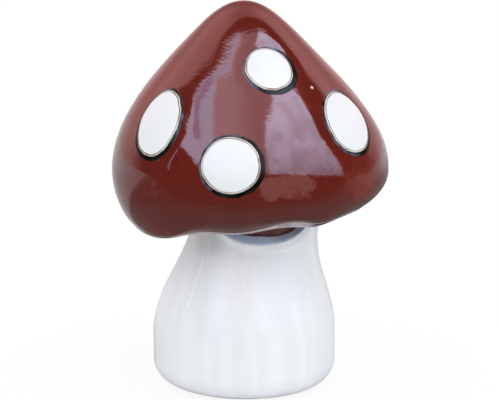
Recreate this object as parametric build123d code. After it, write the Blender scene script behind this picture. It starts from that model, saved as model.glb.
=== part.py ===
from build123d import *
import math
import os

# A two-piece ceramic mushroom ornament: a hollow stem, and a hollow cap with inlaid spots that lifts off it.
# Millimetres. Z is up and runs through the stem's mouth; the front faces -Y; the foot stands on Z = 0.
# Stem and cap are lofts through round rings whose centres and tilts change from ring to ring,
# as in a thrown pot that was pressed a little out of true.

# Stem
STEM_HEIGHT = 76.0       # foot to the seat round the mouth
NECK_RADIUS = 28.8
NECK_LENGTH = 8.0        # straight, upright stretch below the seat
BELLY_RADIUS = 39.9
BELLY_LEVEL = 22.0       # the flare begins above this
BELLY_SHIFT = -2.8       # the belly stands left of the mouth
FOOT_SHIFT = -1.8        # and the foot a little less
BASE_ROLL = 10.0         # rounding of the bottom edge
MOUTH_WALL = 4.5
STEM_FLOOR = 7.0
HOLLOW_RADIUS = 30.0     # of the straight hollow in the belly
HOLLOW_TOP = 48.0        # where it begins to close in towards the mouth
SCOOP_WIDTH = 40.0       # hand-cut dip in the front of the mouth's rim
SCOOP_DEPTH = 6.4
SCOOP_SLOPE = 15.0       # degrees the cut falls towards the outside
SCOOP_TURN = 12.0        # degrees from the front towards +X

# Cap
CAP_DIAMETER = 120.0
WIDEST_RISE = 19.0       # seat to the widest ring
CROWN_HEIGHT = 73.0      # widest ring to the tip
TIP_FULLNESS = 0.66
CROWN_LEAN = -2.3        # degrees, so that the tip stands a little to the left
RIM_LEAN = -7.0          # degrees, so that the rim hangs lower on the left
ROLL_WIDTH = 16.0        # the rim rolls in this far below the widest ring
ROLL_HEIGHT = 17.5
CAP_WALL = 6.0
DOME_HOLLOW_RISE = 8.0   # the hollow is straight up to here above the widest ring
DOME_HOLLOW_TOP = 58.0   # and tapers to a flat end here
DOME_HOLLOW_END = 15.0   # radius of that end
BOSS_MARGIN = 1.2        # seat boss beyond the neck
COLLAR_CLEARANCE = 1.0   # all round, in the stem's mouth
COLLAR_LENGTH = 14.0
COLLAR_WALL = 4.5
COLLAR_LEAD = 1.2

# Spots: name, degrees from the front towards +X, share of the way from tip to widest ring,
# width, height, and degrees that the oval is turned
SPOTS = [
    ("spot_left", -48.3, 0.627, 23.0, 29.0, 15.0),
    ("spot_low", -7.8, 0.814, 24.0, 22.4, -13.0),
    ("spot_high", 18.4, 0.329, 20.3, 21.0, 0.0),
    ("spot_right", 55.5, 0.632, 30.0, 25.8, 55.0),
    ("spot_back_right", 135.0, 0.550, 26.0, 24.5, 20.0),
    ("spot_back_left", -140.0, 0.680, 28.0, 25.0, -30.0),
]
SPOT_BEND = 50.0         # radius of a spot's face, which bends round the cap
SPOT_PROUD = 0.4         # above the cap's skin in the spot's middle
SEAT_DEPTH = 0.7         # floor of a seat below the skin at the seat's edge
GROOVE = 1.5             # mean width of the groove round a spot
GROOVE_SHIFT = 0.5       # the groove is wider on the downhill side

MOUTH_RADIUS = NECK_RADIUS - MOUTH_WALL
COLLAR_RADIUS = MOUTH_RADIUS - COLLAR_CLEARANCE
BOSS_RADIUS = NECK_RADIUS + BOSS_MARGIN
CAP_RADIUS = CAP_DIAMETER / 2
WIDEST_Z = STEM_HEIGHT + WIDEST_RISE
RIM_RADIUS = CAP_RADIUS - ROLL_WIDTH

LOW = (Align.CENTER, Align.CENTER, Align.MIN)

# Rings of each loft
CROWN_RINGS = 8
ROLL_RINGS = 5
FLARE_RINGS = 8
BASE_RINGS = 6


def smooth(share):
    """0 to 1 with a level start and end."""
    share = min(max(share, 0.0), 1.0)
    return share * share * (3 - 2 * share)


def lofted(rings):
    """The solid of straight bands between round rings, with flat or pointed ends."""
    return Solid.make_loft(rings, ruled=True)


def cap_place(height):
    """A place on the cap's axis at a height from the widest ring, leaning as the cap does there."""
    lean = RIM_LEAN + (CROWN_LEAN - RIM_LEAN) * smooth(1 + height / ROLL_HEIGHT)
    return Location((0, 0, WIDEST_Z), (0, lean, 0)) * Pos(0, 0, height)


def cap_ring(radius, height):
    return Wire([(cap_place(height) * Circle(radius)).edge()])


def crown(share):
    """Radius and height of the crown's outline from its tip (0) to its widest ring (1)."""
    fullness = TIP_FULLNESS * share * (1 - share) ** 4
    return CAP_RADIUS * math.sqrt(math.sin(math.pi * share / 2) ** 2 + fullness), CROWN_HEIGHT * (1 - share)


def crown_normal(share):
    """Outward and upward parts of the direction that the crown faces."""
    step = 0.001
    (r0, z0), (r1, z1) = crown(share - step), crown(share + step)
    length = math.hypot(r1 - r0, z0 - z1)
    return (z0 - z1) / length, (r1 - r0) / length


def make_body():
    """The cap's outer form: flat underside, rolled rim and crown."""
    rings = []
    for i in range(ROLL_RINGS):
        angle = math.pi / 2 * (1 - i / ROLL_RINGS)
        rings.append(cap_ring(RIM_RADIUS + ROLL_WIDTH * math.cos(angle), -ROLL_HEIGHT * math.sin(angle)))
    for i in range(CROWN_RINGS, 0, -1):
        rings.append(cap_ring(*crown((i / CROWN_RINGS) ** 1.6)))
    tip = cap_place(CROWN_HEIGHT).position
    return lofted(rings + [Vertex(*tip)])


def make_hollow():
    """The inside of the cap: straight behind the rim, then a taper below the tip."""
    outline = Polyline(
        (0, CAP_WALL - ROLL_HEIGHT),
        (CAP_RADIUS - 2 * CAP_WALL, CAP_WALL - ROLL_HEIGHT),
        (CAP_RADIUS - 2 * CAP_WALL, DOME_HOLLOW_RISE),
        (DOME_HOLLOW_END, DOME_HOLLOW_TOP),
        (0, DOME_HOLLOW_TOP),
        close=True,
    )
    return Location((0, 0, WIDEST_Z), (0, CROWN_LEAN, 0)) * revolve(Plane.XZ * make_face(outline), Axis.Z)


def make_cap():
    collar_bottom = STEM_HEIGHT - COLLAR_LENGTH
    boss = Pos(0, 0, STEM_HEIGHT) * Cylinder(BOSS_RADIUS, WIDEST_RISE, align=LOW)
    collar = Pos(0, 0, collar_bottom) * Cylinder(COLLAR_RADIUS, COLLAR_LENGTH + WIDEST_RISE, align=LOW)
    collar = chamfer(collar.faces().sort_by(Axis.Z)[0].edges(), COLLAR_LEAD)
    bore = Pos(0, 0, collar_bottom) * Cylinder(COLLAR_RADIUS - COLLAR_WALL, COLLAR_LENGTH + WIDEST_RISE, align=LOW)
    neck_room = Pos(0, 0, collar_bottom) * Cylinder(BOSS_RADIUS, COLLAR_LENGTH, align=LOW)
    return Part() + make_body() - neck_room + boss + collar - make_hollow() - bore


def stem_ring(radius, z, shift):
    return Wire([(Pos(shift, 0, z) * Circle(radius)).edge()])


def stem_form():
    """The stem's outer form from its rounded bottom edge over belly and flare to the seat."""
    rings = []
    for i in range(BASE_RINGS + 1):
        share = i / BASE_RINGS
        radius = BELLY_RADIUS - BASE_ROLL * (1 - share)
        z = BASE_ROLL * (1 - math.sqrt(1 - share ** 2))
        rings.append(stem_ring(radius, z, FOOT_SHIFT + (BELLY_SHIFT - FOOT_SHIFT) * share))
    for i in range(FLARE_RINGS + 1):
        share = i / FLARE_RINGS
        rise = math.acos(1 - 2 * share) / math.pi
        radius = BELLY_RADIUS + (NECK_RADIUS - BELLY_RADIUS) * share
        z = BELLY_LEVEL + (STEM_HEIGHT - NECK_LENGTH - BELLY_LEVEL) * rise
        rings.append(stem_ring(radius, z, BELLY_SHIFT * (1 - rise)))
    rings.append(stem_ring(NECK_RADIUS, STEM_HEIGHT, 0.0))
    return lofted(rings)


def scoop():
    """The sloping elliptical cut in the front of the rim."""
    drop = NECK_RADIUS * math.tan(math.radians(SCOOP_SLOPE))
    start = Location((0, 0, STEM_HEIGHT + drop), (0, 0, SCOOP_TURN))
    facing = Location((0, 0, 0), (90 + SCOOP_SLOPE, 0, 0))
    depth = SCOOP_DEPTH * math.cos(math.radians(SCOOP_SLOPE))
    return extrude(start * facing * Ellipse(SCOOP_WIDTH / 2, depth), 2 * NECK_RADIUS)


def make_stem():
    mouth_z = HOLLOW_TOP + HOLLOW_RADIUS - MOUTH_RADIUS
    outline = Polyline(
        (0, STEM_FLOOR),
        (HOLLOW_RADIUS, STEM_FLOOR),
        (HOLLOW_RADIUS, HOLLOW_TOP),
        (MOUTH_RADIUS, mouth_z),
        (MOUTH_RADIUS, STEM_HEIGHT),
        (0, STEM_HEIGHT),
        close=True,
    )
    return Part() + stem_form() - revolve(Plane.XZ * make_face(outline), Axis.Z) - scoop()


def spot_place(turn, share):
    """A place on the crown whose Z points outward and whose Y points uphill."""
    (radius, height), (out, up) = crown(share), crown_normal(share)
    side, front = math.sin(math.radians(turn)), -math.cos(math.radians(turn))
    facing = Plane((radius * side, radius * front, 0), x_dir=(-front, side, 0), z_dir=(out * side, out * front, up))
    return cap_place(height) * facing.location


def fall(radius):
    """How far a face that bends round the cap falls at a distance from its middle."""
    return radius ** 2 / (2 * SPOT_BEND)


def oval(width, height, turned, floor, top):
    """An upright oval block between two levels."""
    return extrude(Location((0, 0, floor), (0, 0, turned)) * Ellipse(width / 2, height / 2), top - floor)


def make_spot(width, height, turned, floor):
    bend = Pos(0, 0, SPOT_PROUD - SPOT_BEND) * Rot(90, 0, 0) * Cylinder(SPOT_BEND, 2 * (width + height))
    return oval(width, height, turned, floor, SPOT_PROUD) & bend


cap = make_cap()
pieces = {"stem": make_stem()}
for name, turn, share, width, height, turned in SPOTS:
    floor = -fall(max(width, height) / 2 + GROOVE) - SEAT_DEPTH
    place = spot_place(turn, share)
    pieces[name] = place * make_spot(width, height, turned, floor)
    seat = oval(width + 2 * GROOVE, height + 2 * GROOVE, turned, floor, CAP_WALL)
    cap = cap - place * Pos(0, -GROOVE_SHIFT, 0) * seat
pieces["cap"] = cap

os.makedirs("parts", exist_ok=True)
for name, piece in pieces.items():
    export_step(piece, f"parts/{name}.step")
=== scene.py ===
# %% [markdown]
# # A ceramic mushroom ornament
# The object is two glazed pieces: a white stem, open at its top, and a red cap that sits on it like
# a lid. Six white spots are let into the cap, each with a line of dark glaze round it.
# The imported CAD model is loaded first, because every finished piece takes the place of one of its parts.

# %% Load the frame
import bpy
import math
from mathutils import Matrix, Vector


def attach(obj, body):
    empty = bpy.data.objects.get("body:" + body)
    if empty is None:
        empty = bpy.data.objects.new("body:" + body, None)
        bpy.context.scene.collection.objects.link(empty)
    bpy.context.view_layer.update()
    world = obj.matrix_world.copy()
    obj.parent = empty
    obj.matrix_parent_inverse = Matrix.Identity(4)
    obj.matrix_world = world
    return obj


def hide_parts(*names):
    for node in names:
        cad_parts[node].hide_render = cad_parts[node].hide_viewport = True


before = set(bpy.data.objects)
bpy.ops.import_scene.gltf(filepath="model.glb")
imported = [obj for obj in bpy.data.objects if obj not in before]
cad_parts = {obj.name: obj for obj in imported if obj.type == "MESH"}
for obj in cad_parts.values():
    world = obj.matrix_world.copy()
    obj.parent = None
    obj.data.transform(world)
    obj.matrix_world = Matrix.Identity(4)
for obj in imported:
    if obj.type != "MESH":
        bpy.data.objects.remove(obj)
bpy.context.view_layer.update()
scene = bpy.context.scene
MM = 0.001
MICRON = 0.000001

# %% [markdown]
# ## The camera
# The picture was taken from a little above with a long lens, which shows little perspective. So the
# camera stands a metre away and looks down at the middle of the object.

# %% Place the camera
EYE = Vector((-0.0002, -1.0, 0.318))
AIM = Vector((-0.0002, 0.0, 0.0805))
FOCAL_LENGTH = 170.06    # millimetres, on a sensor of this width
SENSOR_WIDTH = 36.0
lens = bpy.data.cameras.new("camera")
lens.lens = FOCAL_LENGTH
lens.sensor_width = SENSOR_WIDTH
camera = bpy.data.objects.new("camera", lens)
camera.location = EYE
camera.rotation_euler = (AIM - EYE).to_track_quat("-Z", "Y").to_euler()
scene.collection.objects.link(camera)
scene.camera = camera
down = math.degrees(math.atan2(EYE.z - AIM.z, AIM.y - EYE.y))
print("camera looks down", round(down, 1), "degrees")

# %% [markdown]
# ## Nodes written as sums
# Both the shapes and the glazes below are made of nodes. Linking dozens of them by hand hides the
# idea, so one small class wraps a socket: sums of wires add Math nodes, and one method makes any
# other node from its type, its settings and what goes into its sockets.

# %% A wire that can be calculated with
class Wire:
    """A node's socket that takes part in sums written as Python."""

    def __init__(self, tree, socket=None):
        self.tree = tree
        self.socket = socket

    def put(self, value, socket):
        """Links a wire into a socket, or sets a plain value there."""
        if isinstance(value, Wire):
            self.tree.links.new(value.socket, socket)
        else:
            socket.default_value = value

    def node(self, kind, settings=None, sockets=None, out=0):
        """Makes a node: settings first, then its sockets, and gives one of its outputs."""
        node = self.tree.nodes.new(kind)
        for name, value in (settings or {}).items():
            setattr(node, name, value)
        for name, value in (sockets or {}).items():
            if isinstance(name, int):
                self.put(value, node.inputs[name])
            else:
                self.put(value, next(s for s in node.inputs if s.name == name and s.enabled))
        if isinstance(out, str):
            return Wire(self.tree, next(s for s in node.outputs if s.name == out and s.enabled))
        return Wire(self.tree, node.outputs[out])

    def maths(self, operation, *values):
        return self.node("ShaderNodeMath", {"operation": operation}, dict(enumerate(values)))

    def vector(self, operation, *values, out=0):
        return self.node("ShaderNodeVectorMath", {"operation": operation}, dict(enumerate(values)), out)

    def parts(self, axes):
        """A list of the named axes of a vector wire."""
        return [self.node("ShaderNodeSeparateXYZ", None, {0: self}, axis) for axis in axes]

    def scaled(self, length):
        """A vector wire made longer or shorter."""
        return self.node("ShaderNodeVectorMath", {"operation": "SCALE"}, {0: self, "Scale": length})

    def mixed(self, low, high):
        """A colour between two colours, with this wire as the share of the second."""
        return self.node("ShaderNodeMix", {"data_type": "RGBA"}, {0: self, 6: low, 7: high}, 2)

    def step(self, start, end):
        """0 below the start, 1 above the end, and smooth between."""
        settings = {"interpolation_type": "SMOOTHSTEP"}
        sockets = {"Value": self, "From Min": start, "From Max": end}
        return self.node("ShaderNodeMapRange", settings, sockets)


# Each sign of a sum makes one kind of Math node, with the wire on the left or on the right of the sign.
SIGNS = {"add": "ADD", "sub": "SUBTRACT", "mul": "MULTIPLY", "truediv": "DIVIDE", "pow": "POWER"}
for sign, operation in SIGNS.items():
    setattr(Wire, f"__{sign}__", lambda self, other, kind=operation: self.maths(kind, self, other))
    setattr(Wire, f"__r{sign}__", lambda self, other, kind=operation: self.maths(kind, other, self))


def most(first, second):
    """The larger of two values, of which the first is a wire."""
    return first.maths("MAXIMUM", first, second)


def least(first, second):
    return first.maths("MINIMUM", first, second)

# %% [markdown]
# ## Glazes
# A glaze is glass melted on clay: a coloured body under a clear, smooth coat. Each finish below is one
# Principled shader. Noise in the object's own space varies its colour and its roughness, and a
# bump gives the slight waves that a flowing glaze freezes with.

# %% Start and end a finish
def grey(level):
    return (level, level, level, 1.0)


def colour(red, green, blue):
    """A colour for a socket from the red, green and blue that a screen shows (0 to 255)."""
    def linear(value):
        value = value / 255
        return value / 12.92 if value <= 0.04045 else ((value + 0.055) / 1.055) ** 2.4
    return (linear(red), linear(green), linear(blue), 1.0)


def found(tree, kind):
    return next(n for n in tree.nodes if n.type == kind)


def new_finish(name):
    """An empty material, and a wire of the place on the object."""
    material = bpy.data.materials.new(name)
    material.use_nodes = True
    return material, Wire(material.node_tree).node("ShaderNodeTexCoord", out="Object")


def finished(material, body, roughness, bump=None, ior=None):
    """Sets a finish's colour, roughness, bump in microns and refraction, and gives the finish."""
    inputs = found(material.node_tree, "BSDF_PRINCIPLED").inputs
    body.put(body, inputs["Base Color"])
    body.put(roughness, inputs["Roughness"])
    if bump:
        sockets = {"Height": bump, "Strength": 1.0, "Distance": MICRON}
        body.put(body.node("ShaderNodeBump", None, sockets, "Normal"), inputs["Normal"])
    if ior:
        inputs["IOR"].default_value = ior
    return material


# %% [markdown]
# The finishes are made of three patterns: clouds, specks and soft patches.

# %% Patterns for finishes
def noise(place, scale, detail=3.0, stretch=(1.0, 1.0, 1.0), seed=0.0, roughness=0.5):
    """Cloudy grey between 0 and 1; the scale counts clouds in a metre."""
    settings = {"vector_type": "POINT"}
    spread = place.node("ShaderNodeMapping", settings, {"Vector": place, "Scale": stretch})
    settings = {"noise_dimensions": "4D"}
    sockets = {"Vector": spread, "W": seed, "Scale": scale, "Detail": detail, "Roughness": roughness}
    return place.node("ShaderNodeTexNoise", settings, sockets)


def specks(place, scale, seed, core, reach):
    """1 in the core of many scattered specks, falling to 0 at their reach."""
    settings = {"voronoi_dimensions": "4D", "feature": "F1"}
    sockets = {"Vector": place, "W": seed, "Scale": scale}
    return 1 - place.node("ShaderNodeTexVoronoi", settings, sockets).step(core, reach)


def blob(place, centre, size):
    """1 at a place given in millimetres, falling to 0 at a distance from it along each axis."""
    away = place.vector("SUBTRACT", place, [q * MM for q in centre])
    away = place.vector("DIVIDE", away, [q * MM for q in size])
    return 1 - place.vector("LENGTH", away, out="Value").step(0.2, 1.0)


# %% [markdown]
# ### Red cap glaze
# The cap's glaze is a deep iron red under a hard glassy surface. Low on the cap it is darker and browner,
# which is painted shade for its dimmer underside, and low in front it is duller, where it ran thin. There
# it has a lighter mauve patch, a painted sheen of a hazy highlight, and an amber tint on the right. On the
# front of the lip a pale mauve is a painted reflection. It has dark specks, and a few white flecks on small
# raised pimples, which are painted glints. Its fine orange peel gives every reflection a combed edge.

# %% Red glaze
# Each patch is its middle and its reach along the axes, in millimetres.
HAZY_SHEEN_PATCH = (15.0, -57.0, 99.5), (19.0, 14.0, 8.5)
AMBER_PATCH = (47.0, -36.0, 97.0), (17.0, 17.0, 13.0)
PAINTED_GLINT_FLECK = (25.7, -28.5, 135.6), (1.0, 1.0, 1.0)


def red_glaze():
    material, place = new_finish("iron_red_glaze")
    x, z = place.parts("XZ")
    clouds = noise(place, 22.0, 4.0, seed=1.0)
    patchy = noise(place, 110.0, 4.0, seed=2.0, roughness=0.65)
    body = clouds.step(0.3, 0.7).mixed(colour(96, 29, 21), colour(107, 36, 27))
    # Painted shade: the cap is darker and browner below its widest ring, for its dimmer underside.
    body = (z + 0.012 * patchy).step(0.084, 0.116).mixed(colour(87, 32, 25), body)
    # Painted sheen: a lighter mauve patch low in front stands in for a hazy highlight.
    painted_sheen_area = (blob(place, *HAZY_SHEEN_PATCH) + 2.6 * (patchy - 0.5)).step(0.3, 0.75)
    body = (0.75 * painted_sheen_area).mixed(body, colour(126, 72, 66))
    amber = (blob(place, *AMBER_PATCH) + 2.0 * (patchy - 0.5)).step(0.1, 1.1)
    body = (0.7 * amber).mixed(body, colour(124, 52, 38))
    mottle = noise(place, 420.0, 2.0, seed=3.0).step(0.52, 0.72)
    body = (0.25 * mottle).mixed(body, colour(74, 20, 14))
    speck = specks(place, 520.0, 4.0, 0.10, 0.22)
    body = (0.4 * speck).mixed(body, colour(48, 16, 13))
    # Painted glints: white flecks on small raised pimples, and one more placed on the crown.
    pimple_and_painted_glint = specks(place, 110.0, 7.0, 0.018, 0.03)
    pimple_and_painted_glint = most(pimple_and_painted_glint, blob(place, *PAINTED_GLINT_FLECK))
    body = pimple_and_painted_glint.mixed(body, colour(240, 228, 228))

    waves = noise(place, 90.0, 1.0, seed=5.0)
    peel = noise(place, 1.0, 1.0, (520.0, 520.0, 900.0), 6.0)
    bump = 80 * waves + 26 * peel + 40 * pimple_and_painted_glint
    dull = 0.4 * (1 - z.step(0.076, 0.098)) * x.step(-0.034, -0.008)
    return finished(material, body, 0.05 + 0.06 * clouds + dull, bump, ior=1.58)


def lip_glaze_with_painted_reflection():
    material, place = new_finish("lip_painted_mauve_reflection")
    x, y = place.parts("XY")
    clouds = noise(place, 120.0, seed=8.0)
    # Painted reflection: the front of the lip is pale mauve, standing in for the pale surface mirrored
    # under the rim.
    painted_mauve_reflection = clouds.step(0.35, 0.7).mixed(colour(152, 139, 145), colour(180, 168, 175))
    front = x.step(-0.036, -0.026) * (1 - x.step(0.023, 0.029)) * (1 - y.step(-0.03, -0.01))
    body = front.mixed(colour(76, 34, 28), painted_mauve_reflection)
    bump = 40 * noise(place, 400.0, 2.0, seed=9.0)
    return finished(material, body, 0.2 + 0.15 * clouds, bump, ior=1.5)


finishes = {"red": red_glaze(), "lip": lip_glaze_with_painted_reflection()}
print("finishes of the cap:", list(finishes))

# %% [markdown]
# ### White stem glaze
# The stem's white is satin rather than glassy. It ran down in faint streaks while it melted. A grey
# patch under the cap on the left is a painted shadow of the cap. Below it a fine raised ridge has a bright
# line that is a painted highlight.

# %% White glaze
PAINTED_CAP_SHADOW = (-18.0, -20.8, 67.0), (12.0, 12.0, 9.0)
RIDGE_X = -0.0207         # the ridge and its painted highlight stand upright here
RIDGE_BEND = 0.058        # and leans below this height, by this share
RIDGE_LEAN = 0.342


def ridge_and_painted_highlight(place):
    x, y, z = place.parts("XYZ")
    path = RIDGE_X + RIDGE_LEAN * least(z - RIDGE_BEND, 0.0)
    line = 1 - x.maths("ABSOLUTE", x - path).step(0.00015, 0.0004)
    return line * z.step(0.037, 0.040) * (1 - z.step(0.0595, 0.061)) * (1 - y.step(-0.01, 0.0))


def white_glaze():
    material, place = new_finish("white_satin_glaze")
    z = place.parts("Z")[0]
    streaks = noise(place, 1.0, 3.0, (150.0, 150.0, 9.0), 11.0)
    clouds = noise(place, 30.0, seed=12.0)
    body = streaks.step(0.35, 0.7).mixed(colour(235, 237, 240), colour(242, 244, 247))
    body = (0.5 * clouds.step(0.45, 0.75)).mixed(body, colour(230, 233, 239))
    # Painted shadow: grey under the cap on the left, where the cap shades the stem.
    painted_shadow = blob(place, *PAINTED_CAP_SHADOW) * (0.4 + 0.6 * streaks.step(0.4, 0.6))
    body = (0.34 * painted_shadow).mixed(body, colour(150, 148, 146))
    foot = 1 - (z + 0.002 * clouds).step(0.0004, 0.003)
    body = (0.5 * foot).mixed(body, colour(205, 200, 190))
    pinhole = specks(place, 330.0, 13.0, 0.03, 0.09)
    body = (0.3 * pinhole).mixed(body, colour(176, 176, 178))
    speck = specks(place, 120.0, 15.0, 0.03, 0.055)
    body = (0.5 * speck).mixed(body, colour(150, 140, 128))
    line = ridge_and_painted_highlight(place)
    # Painted highlight: the ridge's bright line is near-white colour, over its small real bump.
    body = line.mixed(body, colour(253, 253, 254))
    waves = noise(place, 1.0, 2.0, (55.0, 55.0, 14.0), 14.0)
    bump = 80 * waves + 20 * streaks - 40 * pinhole + 40 * line
    return finished(material, body, 0.26 + 0.14 * streaks, bump, ior=1.45)


finishes["white"] = white_glaze()
print("finish of the stem:", finishes["white"].name)

# %% [markdown]
# ### Bare rim, collar, inside and foot
# Glaze is wiped off wherever two pieces touch in the kiln. The wiped rim of the stem is a rough
# blue-grey, the cap's collar keeps a thin red-brown stain, and the hollows are plain fired clay.

# %% Bare clay finishes
def bare_rim():
    material, place = new_finish("bare_blue_grey_rim")
    clouds = noise(place, 160.0, seed=21.0)
    body = clouds.step(0.3, 0.7).mixed(colour(190, 211, 244), colour(214, 231, 252))
    speck = specks(place, 1300.0, 22.0, 0.2, 0.5)
    body = (0.45 * speck).mixed(body, colour(140, 156, 190))
    grit = noise(place, 2600.0, 2.0, seed=23.0)
    return finished(material, body, 0.72 + 0.15 * grit, 120 * grit)


def collar_stain():
    material, place = new_finish("collar_red_brown_stain")
    clouds = noise(place, 200.0, seed=31.0)
    body = clouds.step(0.3, 0.7).mixed(colour(104, 62, 55), colour(136, 86, 76))
    grit = noise(place, 2000.0, 2.0, seed=32.0)
    return finished(material, body, 0.5 + 0.2 * grit, 100 * grit)


def fired_clay(name, dark, light, seed):
    material, place = new_finish(name)
    clouds = noise(place, 90.0, 4.0, seed=seed)
    body = clouds.step(0.3, 0.7).mixed(dark, light)
    speck = specks(place, 900.0, seed + 1, 0.08, 0.2)
    body = (0.5 * speck).mixed(body, colour(120, 100, 84))
    grit = noise(place, 2200.0, 2.0, seed=seed + 2)
    return finished(material, body, 0.8 + 0.1 * grit, 120 * grit)


finishes["rim"] = bare_rim()
finishes["collar"] = collar_stain()
finishes["inside"] = fired_clay("fired_clay_inside", colour(176, 152, 128), colour(204, 184, 160), 51.0)
finishes["foot"] = fired_clay("fired_clay_foot", colour(188, 176, 160), colour(212, 202, 188), 61.0)
print("finishes so far:", list(finishes))

# %% [markdown]
# ### Spot glaze and dark line
# A spot is opaque white. On its sharp edge the glaze breaks to tan, and a cream line there is a painted
# highlight along the raised edge. Against the edge lies a line of dark glaze, black where it pooled, with
# patches of painted blue reflection on its thin side. The spot's mesh carries its distance from that edge
# in millimetres, so the colours follow the edge. The line's finish reflects less than the others, so that
# it stays black.

# %% Spot and line glazes
def carried(place, name):
    """What the mesh carries under a name."""
    return place.node("ShaderNodeAttribute", {"attribute_name": name}, out="Fac")


def wander(place):
    """How an edge drawn by hand strays to either side."""
    return noise(place, 420.0, 2.0, seed=41.0) - 0.5


def spot_glaze():
    material, place = new_finish("spot_white_glaze")
    far = carried(place, "from_edge") + 0.55 * wander(place)
    clouds = noise(place, 45.0, seed=42.0)
    white = clouds.step(0.3, 0.7).mixed(colour(231, 233, 236), colour(236, 238, 241))
    pinhole = specks(place, 420.0, 43.0, 0.03, 0.08)
    white = (0.3 * pinhole).mixed(white, colour(180, 181, 184))
    breaks = 0.5 + 0.5 * noise(place, 75.0, 2.0, seed=45.0).step(0.4, 0.58)
    body = (breaks * far.step(-1.05, -0.9)).mixed(white, colour(112, 78, 55))
    # Painted highlight: the cream line along the spot's raised edge, between the tan break and the dark
    # line.
    painted_edge_highlight = 0.35 + 0.65 * noise(place, 110.0, 2.0, seed=49.0).step(0.42, 0.56)
    body = (painted_edge_highlight * far.step(-0.6, -0.5)).mixed(body, colour(228, 218, 204))
    body = far.step(-0.22, -0.06).mixed(body, colour(52, 40, 35))
    ripple = noise(place, 160.0, 2.0, seed=44.0)
    return finished(material, body, 0.34 + 0.1 * clouds, 60 * ripple - 20 * pinhole, ior=1.45)


def line_glaze():
    material, place = new_finish("black_line_glaze")
    clouds = noise(place, 300.0, 2.0, seed=46.0)
    body = clouds.step(0.35, 0.7).mixed(colour(9, 11, 11), colour(24, 28, 28))
    painted_sheen_area = 1 - carried(place, "pool").step(-0.4, 0.5)
    # Painted reflection: blue-grey patches on the line's thin side stand in for the room mirrored in the
    # dark glaze.
    painted_blue_reflection = noise(place, 130.0, seed=48.0).step(0.42, 0.6) * painted_sheen_area
    body = (0.7 * painted_blue_reflection).mixed(body, colour(108, 122, 142))
    outer = (carried(place, "line_share") + 0.3 * wander(place)).step(0.84, 1.0)
    body = outer.mixed(body, colour(80, 34, 27))
    bump = 50 * noise(place, 500.0, 2.0, seed=47.0)
    return finished(material, body, 0.14 + 0.14 * clouds, bump, ior=1.24)


finishes["spot"] = spot_glaze()
finishes["line"] = line_glaze()
print("finishes:", [m.name for m in finishes.values()])

# %% [markdown]
# ## A thrown form
# Cap and stem were shaped round an axis, so both follow one rule: an outline turns round, while its
# rings may stand off the axis, hang in a wave, or dip in a cut. It could be a Screw modifier plus hand
# work, but a Geometry Nodes tree holds the whole rule. A grid has one row for each point
# of the outline and one column for each step round, and every point asks its row where it belongs.

# %% Start, end and run a tree
SHARP_ANGLE = 38.0       # degrees; an edge that bends more stays sharp


def new_tree(name, **inputs):
    """A Geometry Nodes tree with inputs listed by kind, a wire to build on, and a wire from each input."""
    tree = bpy.data.node_groups.new(name, "GeometryNodeTree")
    for kind, labels in inputs.items():
        for label in labels:
            tree.interface.new_socket(name=label, in_out="INPUT", socket_type="NodeSocket" + kind)
    tree.interface.new_socket(name="Geometry", in_out="OUTPUT", socket_type="NodeSocketGeometry")
    entry = tree.nodes.new("NodeGroupInput")
    return tree, Wire(tree), {s.name: Wire(tree, s) for s in entry.outputs if s.name}


def end_tree(tree, geometry):
    tree.links.new(geometry.socket, tree.nodes.new("NodeGroupOutput").inputs[0])
    print("tree", tree.name, "has", len(tree.nodes), "nodes")


def run_tree(tree, name, values):
    """Runs a tree once and keeps what it made as a plain mesh at the origin."""
    maker = bpy.data.objects.new(name + "_maker", bpy.data.meshes.new(name + "_maker"))
    scene.collection.objects.link(maker)
    modifier = maker.modifiers.new("maker", "NODES")
    modifier.node_group = tree
    for item in tree.interface.items_tree:
        if item.in_out == "INPUT" and item.name in values:
            modifier[item.identifier] = values[item.name]
    evaluated = maker.evaluated_get(bpy.context.evaluated_depsgraph_get())
    mesh = bpy.data.meshes.new_from_object(evaluated)
    bpy.data.objects.remove(maker)
    mesh.name = name
    mesh.shade_smooth()
    mesh.set_sharp_from_angle(angle=math.radians(SHARP_ANGLE))
    piece = bpy.data.objects.new(name, mesh)
    scene.collection.objects.link(piece)
    mesh.calc_loop_triangles()
    print(name, "has", len(mesh.loop_triangles), "triangles")
    return piece


def points(name, places, **values):
    """An object that is only points, each carrying numbers under names, for a tree to read."""
    mesh = bpy.data.meshes.new(name)
    mesh.from_pydata(places, [], [])
    for label, numbers in values.items():
        mesh.attributes.new(label, "FLOAT", "POINT").data.foreach_set("value", numbers)
    holder = bpy.data.objects.new(name, mesh)
    scene.collection.objects.link(holder)
    return holder


# %% [markdown]
# The spots are made of rings too, so their tree shares these nodes.

# %% Nodes that both trees use
def rolled_grid(wire, rows, columns):
    """A grid whose rows go round, with each point's row and its turn in radians."""
    grid = wire.node("GeometryNodeMeshGrid", None, {"Vertices X": rows, "Vertices Y": columns})
    index = wire.node("GeometryNodeInputIndex")
    row = wire.maths("FLOOR", (index + 0.5) / columns)
    turn = (index - row * columns) * (2 * math.pi) / (columns - 1)
    return grid, row, turn


def mesh_of(item):
    return item.node("GeometryNodeObjectInfo", None, {"Object": item}, "Geometry")


def sampled(mesh, index, value, kind="FLOAT"):
    """The value at one point of another mesh."""
    sockets = {"Geometry": mesh, "Value": value, "Index": index}
    return mesh.node("GeometryNodeSampleIndex", {"data_type": kind}, sockets)


def stored(wire, name):
    settings = {"data_type": "FLOAT"}
    return wire.node("GeometryNodeInputNamedAttribute", settings, {"Name": name}, "Attribute")


def passed(mesh, kind, **sockets):
    """The mesh after a node that changes it."""
    return mesh.node("GeometryNode" + kind, None, {"Geometry": mesh, **sockets})


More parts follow.
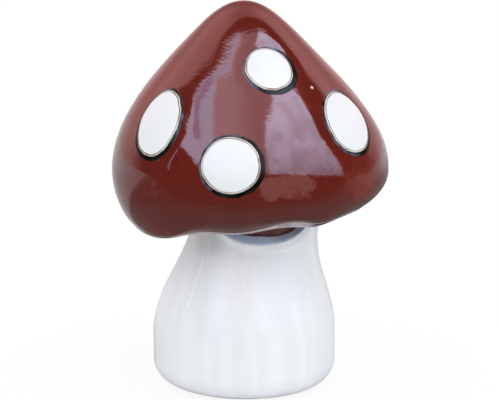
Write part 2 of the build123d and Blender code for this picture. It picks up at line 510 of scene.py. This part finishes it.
def store(mesh, name, value):
    sockets = {"Geometry": mesh, "Name": name, "Value": value}
    return mesh.node("GeometryNodeStoreNamedAttribute", {"data_type": "FLOAT"}, sockets)


def swell(turn, middle, power):
    """1 at a turn and 0 opposite it; a higher power makes it narrower."""
    return ((1 + turn.maths("COSINE", turn - middle)) / 2) ** power


# %% [markdown]
# The cap's rim hangs low on the left, where it ends in a lobe, and it is wavy in front. The stem's rim
# has a scoop that is cut on a slope. Under the glaze both are a little uneven, and the clay dips
# round each spot. Sculpting would give the same, but a function of the turn round the axis keeps each
# of these apart, with numbers of its own.

# %% Waves, cuts and marks
RIPPLE_POWER = 6
CUT_FADE = 0.0, 0.3      # the cut stays on its own side of the axis
LEAN_LIMIT = 0.7         # how far across the cut its slope goes on changing
LUMPS = 34.0             # soft lumps in a metre
LUMP_LEVEL = 0.6
FOOT_FADE = 0.002, 0.012   # heights between which the lumps begin, so that the foot stays flat


def rim_wave(given, turn, side):
    """How far the rim hangs at a turn."""
    power = given["Wave power"]
    wave = given["Droop"] * ((1 - side) / 2) ** power - given["Lift"] * ((1 + side) / 2) ** power
    wave = wave + given["Lobe"] * swell(turn, given["Lobe turn"], given["Lobe power"])
    in_front = swell(turn, given["Ripple turn"], RIPPLE_POWER)
    ripple = turn.maths("COSINE", (turn - given["Ripple turn"]) * given["Ripple count"])
    return wave - given["Ripple"] * in_front * ripple


def scoop_cut(given, turn, radius):
    """How deep the scoop is: a bowl across the rim that gets shallower inward."""
    from_cut = turn - given["Cut turn"]
    across = radius * turn.maths("SINE", from_cut) / given["Cut width"]
    bowl = turn.maths("SQRT", most(1 - across * across, 0.0))
    bowl = bowl * turn.maths("COSINE", from_cut).step(*CUT_FADE)
    beside = least(most(across, 0.0), LEAN_LIMIT)
    inward = (given["Cut reach"] - radius) * given["Cut slope"] * (1 - given["Cut lean"] * beside)
    return most(given["Cut depth"] * bowl - inward, 0.0)


def hand_marks(wire, given):
    """How far a glazed point moves outward: soft lumps, and a dip round each spot."""
    where = wire.node("GeometryNodeInputPosition")
    settings = {"noise_dimensions": "4D"}
    sockets = {"Vector": where, "W": given["Seed"], "Scale": LUMPS, "Detail": 1.0}
    uneven = wire.node("ShaderNodeTexNoise", settings, sockets)
    glazed = 1 - stored(wire, "finish").step(0.0, 0.5)
    above_foot = where.parts("Z")[0].step(*FOOT_FADE)
    push = (uneven - LUMP_LEVEL) * given["Unevenness"] * glazed * above_foot
    presses = mesh_of(given["Presses"])
    sockets = {"Geometry": presses, "Sample Position": where}
    nearest = wire.node("GeometryNodeSampleNearest", None, sockets)
    middle = sampled(presses, nearest, where, "FLOAT_VECTOR")
    away = wire.vector("DISTANCE", where, middle, out="Value")
    away = away - sampled(presses, nearest, stored(wire, "wide"))
    deep = sampled(presses, nearest, stored(wire, "deep"))
    return push - deep * (1 - away.step(0.0, given["Press reach"])) * glazed


# %% [markdown]
# The tree puts every point of the grid in its place, closes the seam, adds the marks, and sets the
# finishes. A ring of faces between rows of two finishes is set to neither.

# %% The tree of a thrown form
FLARE_OUT = 1.2          # where the lip is taller, it also leans out
FINISH_INPUTS = ["Outside", "Bare", "Inside", "Edge"]
FINISH_REACH = 0.45      # a face takes the finish whose number is nearer than this


def thrown_form_tree():
    tree, wire, given = new_tree(
        "thrown_form",
        Object=["Outline", "Presses"],
        Int=["Rows", "Columns"],
        Float=["Droop", "Lift", "Wave power", "Lobe", "Lobe turn", "Lobe power",
               "Ripple", "Ripple count", "Ripple turn", "Flare", "Flare turn", "Flare power",
               "Cut depth", "Cut width", "Cut turn", "Cut slope", "Cut reach", "Cut lean",
               "Unevenness", "Seed", "Press reach"],
        Material=FINISH_INPUTS,
    )
    grid, row, turn = rolled_grid(wire, given["Rows"], given["Columns"])
    outline = mesh_of(given["Outline"])
    place = sampled(outline, row, wire.node("GeometryNodeInputPosition"), "FLOAT_VECTOR")
    radius, shift, height = place.parts("XYZ")
    labels = ("hang", "finish", "flare")
    hang, finish, flare = (sampled(outline, row, stored(wire, label)) for label in labels)

    side = wire.maths("COSINE", turn)
    lowered = hang * (rim_wave(given, turn, side) + scoop_cut(given, turn, radius))
    rise = flare * given["Flare"] * swell(turn, given["Flare turn"], given["Flare power"])
    out = radius + FLARE_OUT * rise
    sockets = {"X": shift + out * side, "Y": out * wire.maths("SINE", turn), "Z": height - (lowered - rise)}
    point = wire.node("ShaderNodeCombineXYZ", None, sockets)
    form = passed(grid, "SetPosition", Position=point)
    form = store(form, "finish", finish)
    form = passed(form, "MergeByDistance", Distance=2 * MICRON)
    offset = wire.node("GeometryNodeInputNormal").scaled(hand_marks(wire, given))
    form = passed(form, "SetPosition", Offset=offset)
    form = passed(form, "RealizeInstances")
    for number, label in enumerate(FINISH_INPUTS):
        away = wire.maths("ABSOLUTE", stored(wire, "finish") - number)
        near = wire.maths("LESS_THAN", away, FINISH_REACH)
        form = passed(form, "SetMaterial", Selection=near, Material=given[label])
    end_tree(tree, form)
    return tree


thrown_form = thrown_form_tree()

# %% [markdown]
# An outline is a list of rows in millimetres: radius, shift off the axis, height, how much of the wave
# and the cut it takes, its finish, and how much of the taller lip it takes, if any.

# %% Throw an outline
GLAZED, BARE, INSIDE, EDGE = 0, 1, 2, 3   # finishes of a row


def throw(name, rows, kinds, values):
    """Turns an outline with four finishes into a piece. An input that isn't given stays 0."""
    rows = [(*row, 0.0)[:6] for row in rows]
    outline = points(
        name + "_outline",
        [(radius * MM, shift * MM, z * MM) for radius, shift, z, *_ in rows],
        hang=[float(row[3]) for row in rows],
        finish=[float(row[4]) for row in rows],
        flare=[float(row[5]) for row in rows],
    )
    materials = {label: finishes[kind] for label, kind in zip(FINISH_INPUTS, kinds)}
    piece = run_tree(thrown_form, name, {"Outline": outline, "Rows": len(rows), **materials, **values})
    bpy.data.objects.remove(outline)
    return piece


def smooth(share):
    """0 to 1 with a level start and end."""
    share = min(max(share, 0.0), 1.0)
    return share * share * (3 - 2 * share)


def between(start, end, steps):
    """Evenly spaced numbers after the start, up to the end."""
    return [start + (end - start) * (i + 1) / steps for i in range(steps)]


# %% [markdown]
# ## The cap
# The crown is full near its tip and leans a little to the left. Below its widest ring the rim rolls
# under and ends in a thin lip. It hangs down in a soft lobe on the left, is wavy in front, and its lip
# is taller on the right of the front. Under it a seat rests on the stem, and a collar goes into the
# stem's mouth. All sizes are in millimetres, and turns are degrees from the right.

# %% Sizes of the cap
STEM_HEIGHT = 76.0
CAP_RADIUS = 60.0
WIDEST_Z = 95.0
CROWN_HEIGHT = 73.0
TIP_FULLNESS = 0.66
TIP_LEAN = -2.9
RIM_RADIUS = 44.0
RIM_Z = 77.5
UNDER_Z = 80.5
SEAT_RADIUS = 30.0
COLLAR_RADIUS = 23.3
COLLAR_BOTTOM = 62.0
COLLAR_LEAD = 1.2
BORE_RADIUS = 18.8
HOLLOW_RADIUS = 48.0
HOLLOW_FLOOR = 84.5
# What the tree is given: how the rim hangs on the left and rises on the right, its lobe, its waves, its
# taller lip, and how uneven the cap is
CAP_FORM = {
    "Droop": 8.0 * MM, "Lift": 4.0 * MM, "Wave power": 4.8,
    "Lobe": 3.3 * MM, "Lobe turn": math.radians(221.0), "Lobe power": 30.0,
    "Ripple": 0.9 * MM, "Ripple turn": math.radians(282.5), "Ripple count": 9.0,
    "Flare": 2.9 * MM, "Flare turn": math.radians(291.0), "Flare power": 95.0,
    "Unevenness": 0.7 * MM, "Seed": 3.0,
}


def crown(share):
    """Radius, shift and height of the crown from its tip (0) to its widest ring (1)."""
    fullness = TIP_FULLNESS * share * (1 - share) ** 4
    radius = CAP_RADIUS * math.sqrt(math.sin(math.pi * share / 2) ** 2 + fullness)
    return radius, TIP_LEAN * (1 - share ** 2) ** 2, WIDEST_Z + CROWN_HEIGHT * (1 - share)


print("the cap is", 2 * CAP_RADIUS, "mm wide and ends at", WIDEST_Z + CROWN_HEIGHT, "mm")

# %% [markdown]
# Six places on the crown carry spots. The clay round each of them was pressed in a little, so that the
# glaze dips towards the spot, most of all at the high one.

# %% Where the spots go
# Each has its turn from the front to the right, its share from the tip to the widest ring, its width and
# height, how far the oval is turned, and how far from downhill its line is widest.
SPOTS = {
    "spot_left": (-48.3, 0.632, 23.2, 30.0, 15.0, -10.0),
    "spot_low": (-7.8, 0.814, 25.0, 23.3, -13.0, 60.0),
    "spot_high": (18.6, 0.329, 20.9, 21.0, 0.0, 45.0),
    "spot_right": (56.0, 0.637, 30.0, 25.8, 55.0, 70.0),
    "spot_back_right": (135.0, 0.550, 26.0, 24.5, 20.0, 10.0),
    "spot_back_left": (-140.0, 0.680, 28.0, 25.0, -30.0, -20.0),
}
PRESS = {"spot_high": 0.38, "spot_low": 0.08}
USUAL_PRESS = 0.15
PRESS_REACH = 6.0


def spot_directions(turn, share):
    """Centre on the crown, and the directions outward and uphill."""
    step = 0.001
    radius, shift, z = crown(share)
    (r0, _, z0), (r1, _, z1) = crown(share - step), crown(share + step)
    side, front = math.sin(math.radians(turn)), -math.cos(math.radians(turn))
    uphill = Vector(((r0 - r1) * side, (r0 - r1) * front, z0 - z1)).normalized()
    outward = Vector(((z0 - z1) * side, (z0 - z1) * front, r1 - r0)).normalized()
    return Vector((shift + radius * side, radius * front, z)) * MM, outward, uphill


presses = points(
    "presses",
    [spot_directions(turn, share)[0] for turn, share, *_ in SPOTS.values()],
    wide=[(width + height) / 4 * MM for _, _, width, height, _, _ in SPOTS.values()],
    deep=[PRESS.get(name, USUAL_PRESS) * MM for name in SPOTS],
)
print("spots:", list(SPOTS))

# %% [markdown]
# The outline of the cap starts at its tip, goes down over the crown and round the rim, back in under it,
# down and up the collar, and ends at the top of the hollow.

# %% The cap
CAP_COLUMNS = 321        # points in a row, of which the last closes the seam
CROWN_ROWS = 72
CROWN_CROWDING = 1.35    # the rows stand closer near the tip
ROLL_ROWS = 28
UNDER_ROWS = 12
LIP_START = math.radians(63)   # where the roll of the rim ends and the lip begins
FLARE_START = 0.45
# Rows of the lip: how far inward, how far down, and its share of the taller lip
LIP_ROWS = [
    (0.02, 0.06, 1.0), (0.06, 0.18, 0.95), (0.1, 0.34, 0.75),
    (0.18, 0.52, 0.5), (0.5, 0.68, 0.32), (1.6, 0.78, 0.3),
]
# Radius and height from the collar's bore to the top of the hollow
CAP_HOLLOW = [
    (BORE_RADIUS, 70.0), (BORE_RADIUS, 77.0), (BORE_RADIUS, HOLLOW_FLOOR), (34.0, HOLLOW_FLOOR),
    (HOLLOW_RADIUS, HOLLOW_FLOOR), (HOLLOW_RADIUS, 94.0), (HOLLOW_RADIUS, 103.0),
    (37.0, 119.7), (26.0, 136.3), (15.0, 153.0), (0.0, 153.0),
]


def cap_rows():
    shares = [(i / CROWN_ROWS) ** CROWN_CROWDING for i in range(CROWN_ROWS + 1)]
    rows = [(*crown(share), 0.0, GLAZED) for share in shares]
    for turn in between(0, LIP_START, ROLL_ROWS):
        radius = RIM_RADIUS + (CAP_RADIUS - RIM_RADIUS) * math.cos(turn)
        z = WIDEST_Z - (WIDEST_Z - RIM_Z) * math.sin(turn)
        flare = smooth((turn - FLARE_START) / (LIP_START - FLARE_START))
        rows.append((radius, 0.0, z, math.sin(turn), GLAZED, flare))
    hang = math.sin(LIP_START)
    for inward, down, flare in LIP_ROWS:
        rows.append((radius - inward, 0.0, z - down, hang, EDGE, flare))
    edge, _, bottom, hang, _, flare = rows[-1]
    for share in between(0, 1, UNDER_ROWS):
        radius = edge + (SEAT_RADIUS - edge) * share
        z = bottom + (UNDER_Z - bottom) * share
        rows.append((radius, 0.0, z, hang * (1 - share ** 2), GLAZED, flare * (1 - share)))
    collar = [(SEAT_RADIUS, STEM_HEIGHT)]
    collar += [(r, STEM_HEIGHT) for r in between(SEAT_RADIUS, COLLAR_RADIUS, 3)]
    collar += [(COLLAR_RADIUS, z) for z in between(STEM_HEIGHT, COLLAR_BOTTOM + COLLAR_LEAD, 5)]
    collar += [(COLLAR_RADIUS - COLLAR_LEAD, COLLAR_BOTTOM), (BORE_RADIUS, COLLAR_BOTTOM)]
    rows += [(r, 0.0, z, 0.0, BARE) for r, z in collar]
    lean = TIP_LEAN / CROWN_HEIGHT
    rows += [(r, max(z - WIDEST_Z, 0.0) * lean, z, 0.0, INSIDE) for r, z in CAP_HOLLOW]
    return rows


cap = throw("cap_glazed", cap_rows(), ("red", "collar", "inside", "lip"), {
    **CAP_FORM, "Columns": CAP_COLUMNS, "Presses": presses, "Press reach": PRESS_REACH * MM,
})
bpy.data.objects.remove(presses)

# %% [markdown]
# ## The stem
# The stem swells into a belly and stands on a rounded foot. Its neck is a little right of its belly. In
# front, the wiped rim has a shallow scoop cut out of it, which shows the dark gap under the cap. The
# scoop could be a Boolean cut, but as a dip in the rows it leaves an even mesh and a soft edge.

# %% Sizes of the stem
BELLY_RADIUS = 39.9
BELLY_LEVEL = 22.0
BELLY_SHIFT = -2.8
FOOT_SHIFT = -1.8
WAIST_LEVEL = 71.5       # the neck has its full narrowness here
WAIST_SHIFT = 2.4        # and stands farthest right
NECK_RADIUS = 27.5
NECK_SHIFT = 1.6         # at the rim it comes back a little
BASE_ROLL = 10.0
MOUTH_RADIUS = 24.3
MOUTH_BOTTOM = 53.7
RIM_ROUNDING = 0.6
STEM_FLOOR = 7.0
CUT_LEVEL = 58.0         # the scoop bends the wall from here upwards
# What the tree is given: the scoop, which falls outward and is flatter towards the right, and how
# uneven the stem is
STEM_FORM = {
    "Cut depth": 8.6 * MM, "Cut width": 20.0 * MM, "Cut turn": math.radians(-79.5),
    "Cut slope": math.tan(math.radians(46.0)), "Cut reach": NECK_RADIUS * MM, "Cut lean": 0.95,
    "Unevenness": 0.5 * MM, "Seed": 8.0,
}
# Radius and height from the bottom of the mouth to the middle of the floor
STEM_HOLLOW = [
    (30.0, 48.0), (30.0, 34.0), (30.0, 20.0), (30.0, STEM_FLOOR + 4),
    (27.0, STEM_FLOOR), (14.0, STEM_FLOOR), (0.0, STEM_FLOOR),
]


def stem_wall(z):
    """Radius and shift of the stem's outside at a height above the rounded foot."""
    rise = min(max((z - BELLY_LEVEL) / (WAIST_LEVEL - BELLY_LEVEL), 0.0), 1.0)
    narrowing = (1 - math.cos(math.pi * rise)) / 2
    coming_back = smooth((z - WAIST_LEVEL) / (STEM_HEIGHT - RIM_ROUNDING - WAIST_LEVEL))
    shift = BELLY_SHIFT + (WAIST_SHIFT - BELLY_SHIFT) * rise ** 2
    shift = shift + (NECK_SHIFT - WAIST_SHIFT) * coming_back
    return BELLY_RADIUS + (NECK_RADIUS - BELLY_RADIUS) * narrowing, shift


print("the stem is", 2 * BELLY_RADIUS, "mm wide and", STEM_HEIGHT, "mm tall")

# %% [markdown]
# Its outline starts in the middle of the foot, goes up the outside, over the rounded rim, and down the
# mouth to the floor of the hollow.

# %% The stem
STEM_COLUMNS = 257
FOOT_ROWS = 14
WALL_ROWS = 56
MOUTH_ROWS = 12


def cut_share(z):
    """How much a row at a height follows the scoop."""
    return smooth((z - CUT_LEVEL) / (STEM_HEIGHT - CUT_LEVEL))


def stem_rows():
    foot_radius = BELLY_RADIUS - BASE_ROLL
    rim_start = STEM_HEIGHT - RIM_ROUNDING
    rows = [(foot_radius * i / 5, FOOT_SHIFT, 0.0, 0.0, EDGE) for i in range(6)]
    for turn in between(0, math.pi / 2, FOOT_ROWS):
        radius = foot_radius + BASE_ROLL * math.sin(turn)
        shift = FOOT_SHIFT + (BELLY_SHIFT - FOOT_SHIFT) * math.sin(turn)
        rows.append((radius, shift, BASE_ROLL * (1 - math.cos(turn)), 0.0, GLAZED))
    levels = between(BASE_ROLL, rim_start, WALL_ROWS)
    rows += [(*stem_wall(z), z, cut_share(z), GLAZED) for z in levels]
    for turn in between(0, math.pi / 2, 4):
        radius = NECK_RADIUS - RIM_ROUNDING * (1 - math.cos(turn))
        z = STEM_HEIGHT - RIM_ROUNDING * (1 - math.sin(turn))
        rows.append((radius, NECK_SHIFT, z, 1.0, BARE))
    for share in between(0, 1, 5):
        radius = NECK_RADIUS - RIM_ROUNDING + (MOUTH_RADIUS + 2 * RIM_ROUNDING - NECK_RADIUS) * share
        rows.append((radius, NECK_SHIFT * (1 - share), STEM_HEIGHT, 1.0, BARE))
    for turn in between(0, math.pi / 2, 3):
        radius = MOUTH_RADIUS + RIM_ROUNDING * (1 - math.sin(turn))
        z = STEM_HEIGHT - RIM_ROUNDING * (1 - math.cos(turn))
        rows.append((radius, 0.0, z, 1.0, BARE))
    levels = between(rim_start, MOUTH_BOTTOM, MOUTH_ROWS)
    rows += [(MOUTH_RADIUS, 0.0, z, cut_share(z), INSIDE) for z in levels]
    rows += [(radius, 0.0, z, 0.0, INSIDE) for radius, z in STEM_HOLLOW]
    return rows


stem = throw("stem_glazed", stem_rows(), ("white", "rim", "inside", "foot"), {
    **STEM_FORM, "Columns": STEM_COLUMNS,
})

# %% [markdown]
# ## The spots
# Each spot is a white oval with a soft shoulder, and black glaze has pooled round it, wider on one
# side. An oval that follows the cap can be shrink-wrapped, but a Raycast inside the tree
# puts every ring of it at an exact height above the skin.

# %% The tree of a spot
EDGE_WOBBLE = 0.014      # share of a spot's size
LINE_RIPPLE = 0.16       # share of the line's width
RAY_START = 0.02         # metres above the skin
RAY_LENGTH = 0.05


def spot_tree():
    tree, wire, given = new_tree(
        "spot",
        Object=["Skin", "Rings"],
        Int=["Ring count", "Columns"],
        Vector=["Centre", "Outward", "Across", "Along", "Pool"],
        Float=["Half width", "Half height", "Line", "Line sag", "Seed"],
        Material=["Glaze", "Line glaze"],
    )
    grid, row, turn = rolled_grid(wire, given["Ring count"], given["Columns"])
    where = wire.node("GeometryNodeInputPosition")
    ring = sampled(mesh_of(given["Rings"]), row, where, "FLOAT_VECTOR")
    share, from_edge, height = ring.parts("XYZ")

    def sine(times, late):
        return wire.maths("SINE", times * turn + late * given["Seed"])

    along, across = wire.maths("COSINE", turn), wire.maths("SINE", turn)
    direction = wire.vector("ADD", given["Across"].scaled(across), given["Along"].scaled(along))
    wobble = sine(2, 1.0) + 0.6 * sine(3, 2.1) + 0.5 * sine(5, 4.7)
    ripple = sine(7, 3.3) * sine(4, 1.0)
    pool = wire.vector("DOT_PRODUCT", direction, given["Pool"], out="Value")
    line_share = most(share - 1, 0.0)
    line = line_share * (given["Line"] * (1 + LINE_RIPPLE * ripple) + given["Line sag"] * pool)
    inner = least(share, 1.0)

    def reach(half):
        return half * (1 + EDGE_WOBBLE * wobble) * inner + from_edge + line

    sideways = given["Across"].scaled(across * reach(given["Half width"]))
    flat = wire.vector("ADD", sideways, given["Along"].scaled(along * reach(given["Half height"])))
    lifted = wire.vector("ADD", flat, given["Outward"].scaled(RAY_START))
    hit = wire.node("GeometryNodeRaycast", None, {
        "Target Geometry": mesh_of(given["Skin"]),
        "Source Position": wire.vector("ADD", given["Centre"], lifted),
        "Ray Direction": given["Outward"].scaled(-1.0),
        "Ray Length": RAY_LENGTH,
    }, "Hit Position")
    facing = Wire(tree, hit.socket.node.outputs["Hit Normal"])
    point = wire.vector("ADD", hit, facing.scaled(height))
    form = passed(grid, "SetPosition", Position=point)
    millimetres = ((inner - 1) * given["Half width"] + from_edge + line) * 1000.0
    for name, value in (("from_edge", millimetres), ("line_share", line_share), ("pool", pool)):
        form = store(form, name, value)
    form = passed(form, "MergeByDistance", Distance=4 * MICRON)
    form = passed(form, "RealizeInstances")
    form = passed(form, "SetMaterial", Material=given["Glaze"])
    on_line = wire.maths("GREATER_THAN", stored(wire, "line_share"), 0.01)
    end_tree(tree, passed(form, "SetMaterial", Selection=on_line, Material=given["Line glaze"]))
    return tree


spot = spot_tree()

# %% [markdown]
# The rings of a spot are rows of (share, distance, height). The share runs from 0 in the middle to 1 at
# the edge and on to 2 at the far side of the line. The distance draws a ring in from the edge, and both
# it and the height are in millimetres. The outer edge of the line dips under the skin.

# %% Rings of a spot
PROUD = 0.55
DOME = 0.3               # the middle stands this much higher than the shoulder
SHOULDER = 0.8
BEAD = 0.1               # height of the black line
FACE_RINGS = 16


def spot_rings():
    rows = []
    for i in range(FACE_RINGS + 1):
        share = i / FACE_RINGS
        rows.append((share, -SHOULDER * share, PROUD + DOME * (1 - share ** 2)))
    for turn in between(0, math.pi / 2, 8):
        z = PROUD - (PROUD - BEAD) * (1 - math.cos(turn))
        rows.append((1.0, -SHOULDER * (1 - math.sin(turn)), z))
    for share in between(0, 1, 9):
        hollow = 0.5 * BEAD * math.sin(math.pi * share)
        sunk = 1.6 * BEAD * share ** 6
        rows.append((1.0 + share, 0.0, BEAD - hollow - sunk))
    return rows


rings = points("spot_rings", [(share, e * MM, z * MM) for share, e, z in spot_rings()])
print("a spot has", len(spot_rings()), "rings")

# %% [markdown]
# Each spot was pressed in by hand, so no two are turned alike. One tree sets all six, each with its own
# centre, directions and seed.

# %% Set the spots on the cap
LINE = 1.6               # mean width of the black line
LINE_SAG = {"spot_high": 1.0, "spot_right": 0.8}   # how much it gains on its wide side
USUAL_SAG = 0.5
SPOT_COLUMNS = 161


def turned(first, second, degrees):
    """The first direction turned towards the second."""
    angle = math.radians(degrees)
    return first * math.cos(angle) + second * math.sin(angle)


spots = {}
for number, (name, (turn, share, width, height, tilt, pool)) in enumerate(SPOTS.items()):
    centre, outward, uphill = spot_directions(turn, share)
    sideways = uphill.cross(outward)
    spots[name] = run_tree(spot, name + "_glazed", {
        "Skin": cap, "Rings": rings, "Ring count": len(spot_rings()), "Columns": SPOT_COLUMNS,
        "Centre": centre, "Outward": outward, "Pool": turned(-uphill, sideways, pool),
        "Across": turned(sideways, uphill, tilt), "Along": turned(uphill, -sideways, tilt),
        "Half width": width / 2 * MM, "Half height": height / 2 * MM,
        "Line": LINE * MM, "Line sag": LINE_SAG.get(name, USUAL_SAG) * MM, "Seed": float(number),
        "Glaze": finishes["spot"], "Line glaze": finishes["line"],
    })
bpy.data.objects.remove(rings)

# %% [markdown]
# ## The studio
# A glassy cap is a mirror of the room, so the room counts as much as the glaze. The cap shows a tent of
# white cloth: a glowing front that reaches up over the ornament, in bands on the left and brightest on
# the right, dark seams beside it, and plain white cloth behind. A lamp for each would do, but the cloth
# fills half of the sky, so the world works out its brightness from the direction of the ray. Directions
# are written as x to the right, y to the back and z up, each from -1 to 1.

# %% The tent
LEFT_END = 72.0          # degrees from the front to where the glowing cloth ends
RIGHT_END = 84.0
HEM_TURN = 72.5
ROOM_LIGHT = 0.03
BAND_LIGHT = 4.0
HEM_LIGHT = 3.0
WARM_LOW = (1.25, 0.86, 0.86, 1.0)
WARM_HIGH = (1.55, 0.82, 0.82, 1.0)
ROSE = (1.30, 0.90, 1.00, 1.0)
BLUE = (0.86, 0.90, 1.22, 1.0)
VIOLET = (0.92, 0.74, 1.20, 1.0)


def above(value, limit):
    """How far a wire goes beyond a limit."""
    return most(value - limit, 0.0)


def tent_cloth(direction):
    """Brightness of the cloth by direction, dark where the room is, and its tint."""
    x, y, z = direction.parts("XYZ")
    front = 0 - y
    left, right = above(0 - x, 0.0), above(x, 0.0)
    turn = x.maths("ARCTAN2", x, front) * math.degrees(1)

    # The front glows between its two ends, its back edge and its bottom edge.
    left_edge = (turn + LEFT_END + 25 * above(z, 0.45) + 120 * above(z, 0.645)).step(0.0, 3.0)
    right_edge = (RIGHT_END + 75 * above(z, 0.62) - turn).step(0.0, 3.0)
    inside_back = front - 0.125 * z + 0.3 * above(left, 0.28) + 0.95 * right * right
    bottom_edge = (z - 0.33 * front - 1.75 * above(left, 0.55)).step(0.0, 0.03)
    glowing = left_edge * right_edge * inside_back.step(0.0, 0.03) * bottom_edge

    # On the left it has a bright band with a stripe in it, and on the right a bright panel with folds.
    middle = 1.3 + (0 - x).step(-0.2, 0.3)
    band = most(left.step(0.40, 0.47), 1 - inside_back.step(0.05, 0.11))
    band = band * left.step(0.0, 0.15)
    border = least(inside_back, 0.70 - left)
    stripe = border.step(0.03, 0.05) * (1 - border.step(0.095, 0.125))
    stripe = stripe * left.step(0.42, 0.52) * z.step(0.64, 0.68)
    slant = 0.78 * least(above(0.46 - front, 0.0), 0.135)
    panel = (x - 0.205 - slant).step(0.0, 0.03)
    folds = 0.8 + 0.4 * noise(direction, 6.0, seed=81.0).step(0.3, 0.7)
    light = middle + (BAND_LIGHT - middle) * band - 1.6 * stripe
    light = light + (folds * (1.0 + 5.4 * z) - light) * panel

    # Beside it hangs a white hem, and behind a dark seam there is plain cloth, high and low.
    hem = 1 - turn.maths("ABSOLUTE", turn + HEM_TURN).step(0.4, 1.1)
    hem = hem * z.step(0.15, 0.2) * (1 - z.step(0.48, 0.52))
    seam = 0.1 + 0.25 * x + 0.28 * x * x + 0.8 * above(left, 0.52) - 0.03 * left.step(0.1, 0.5)
    high = z.step(0.05, 0.4)
    behind = (y - seam).step(-0.03, 0.04) * high * (1.2 - 0.72 * y.step(0.5, 0.85))
    behind = behind * (0.6 + 0.4 * x.maths("ABSOLUTE", x).step(0.1, 0.5))
    behind = behind + 0.75 * (y - 0.3 * right).step(0.1, 0.6) * (1 - high) * z.step(-0.1, 0.0)
    cloth = ROOM_LIGHT + glowing * light + (1 - glowing) * (behind + HEM_LIGHT * hem)

    tint = high.mixed(WARM_LOW, WARM_HIGH)
    tint = glowing.mixed(tint, ROSE)
    brightest = most(most(band, panel) * glowing, hem)
    tint = brightest.mixed(tint, BLUE)
    tint = (stripe * glowing).mixed(tint, VIOLET)
    return cloth, tint


# %% [markdown]
# Only mirrored rays see the cloth as it is. Rays from the camera see plain white, and the light on matt
# surfaces is an even daylight with a little of the cloth in it, slightly stronger from the right.

# %% The world
DAYLIGHT = (0.965, 0.985, 1.0, 1.0)


def ray(wire, kind):
    """1 for rays of one kind and 0 for the others."""
    return wire.node("ShaderNodeLightPath", out=f"Is {kind} Ray")


def build_world():
    world = bpy.data.worlds.new("studio")
    scene.world = world
    world.use_nodes = True
    tree = world.node_tree
    wire = Wire(tree)
    direction = wire.node("ShaderNodeTexCoord", out="Generated")
    cloth, tint = tent_cloth(direction)
    glossy = ray(wire, "Glossy")
    seen = most(ray(wire, "Camera"), ray(wire, "Transmission"))
    soft = 0.87 + 0.05 * direction.parts("X")[0] + 0.16 * cloth
    strength = seen + (1 - seen) * (soft + (cloth - soft) * glossy)
    tint = ((1 - seen) * glossy).mixed(DAYLIGHT, tint)
    tint = seen.mixed(tint, grey(1.0))
    background = found(tree, "BACKGROUND")
    wire.put(tint, background.inputs["Color"])
    wire.put(strength, background.inputs["Strength"])


build_world()
print("world: a glowing tent in front and above, white cloth behind")

# %% [markdown]
# The table is pale paper. It fades out in front of the ornament, where the room is dim. The shadow stays
# on it, but away from the ornament the camera sees the plain white of the backdrop. In the cap's mirror
# the table is brighter at the back than in front, because the light on it falls off.

# %% The table
TABLE_FRONT = -0.30
TABLE_FADE = -0.07       # in front of here it fades out
TABLE_SIZE = 3.0


def mirrored_table(place):
    """Brightness of the table in the cap's mirror."""
    across, depth = place.parts("XY")
    far = place.vector("LENGTH", place, out="Value")
    side, back = across / far, depth / far
    lit = 0.12 + 0.48 * depth.step(0.085, 0.12) * (1 - 0.8 * side.step(0.0, 0.5))
    lit = most(lit, 0.22 * (1 - far.step(0.12, 0.4)))
    behind = back - 0.3 * above(side, 0.0)
    return lit + (0.75 - lit) * far.step(0.3, 0.9) * behind.step(0.1, 0.6)


def table_finish():
    material, place = new_finish("white_table")
    tree = material.node_tree
    body = noise(place, 40.0, 2.0, seed=71.0).mixed(grey(0.91), grey(0.94))
    mirrored = mirrored_table(place).mixed(grey(0.0), grey(1.0))
    finished(material, ray(place, "Glossy").mixed(body, mirrored), 0.9)
    paper = Wire(tree, found(tree, "BSDF_PRINCIPLED").outputs[0])
    white = place.node("ShaderNodeEmission", None, {"Color": grey(1.0), "Strength": 1.0})
    far = place.vector("LENGTH", place, out="Value")
    share = ray(place, "Camera") * (0.85 + 0.15 * far.step(0.04, 0.14))
    surface = place.node("ShaderNodeMixShader", None, {0: share, 1: paper, 2: white})
    clear = place.node("ShaderNodeBsdfTransparent")
    there = place.parts("Y")[0].step(TABLE_FRONT, TABLE_FADE)
    surface = place.node("ShaderNodeMixShader", None, {0: there, 1: clear, 2: surface})
    place.put(surface, found(tree, "OUTPUT_MATERIAL").inputs["Surface"])
    return material


def build_table():
    size = TABLE_SIZE
    mesh = bpy.data.meshes.new("table")
    corners = [(-size, TABLE_FRONT, 0), (size, TABLE_FRONT, 0), (size, size, 0), (-size, size, 0)]
    mesh.from_pydata(corners, [], [(0, 1, 2, 3)])
    mesh.materials.append(table_finish())
    table = bpy.data.objects.new("table", mesh)
    scene.collection.objects.link(table)


build_table()
print("table: fades out", -TABLE_FADE, "to", -TABLE_FRONT, "m in front of the middle")

# %% [markdown]
# ## Put the pieces in place of the CAD parts
# Each finished piece rides on the body of the piece that it stands for, and hides the CAD solid.

# %% Ride and replace
for piece, body, node, slot in [(cap, "cap", "cap", "red_glaze"), (stem, "stem", "stem", "white_glaze")]:
    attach(piece, body)
    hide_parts(node)
for name, piece in spots.items():
    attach(piece, "cap")
    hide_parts(name)
scene.view_settings.view_transform = "Standard"
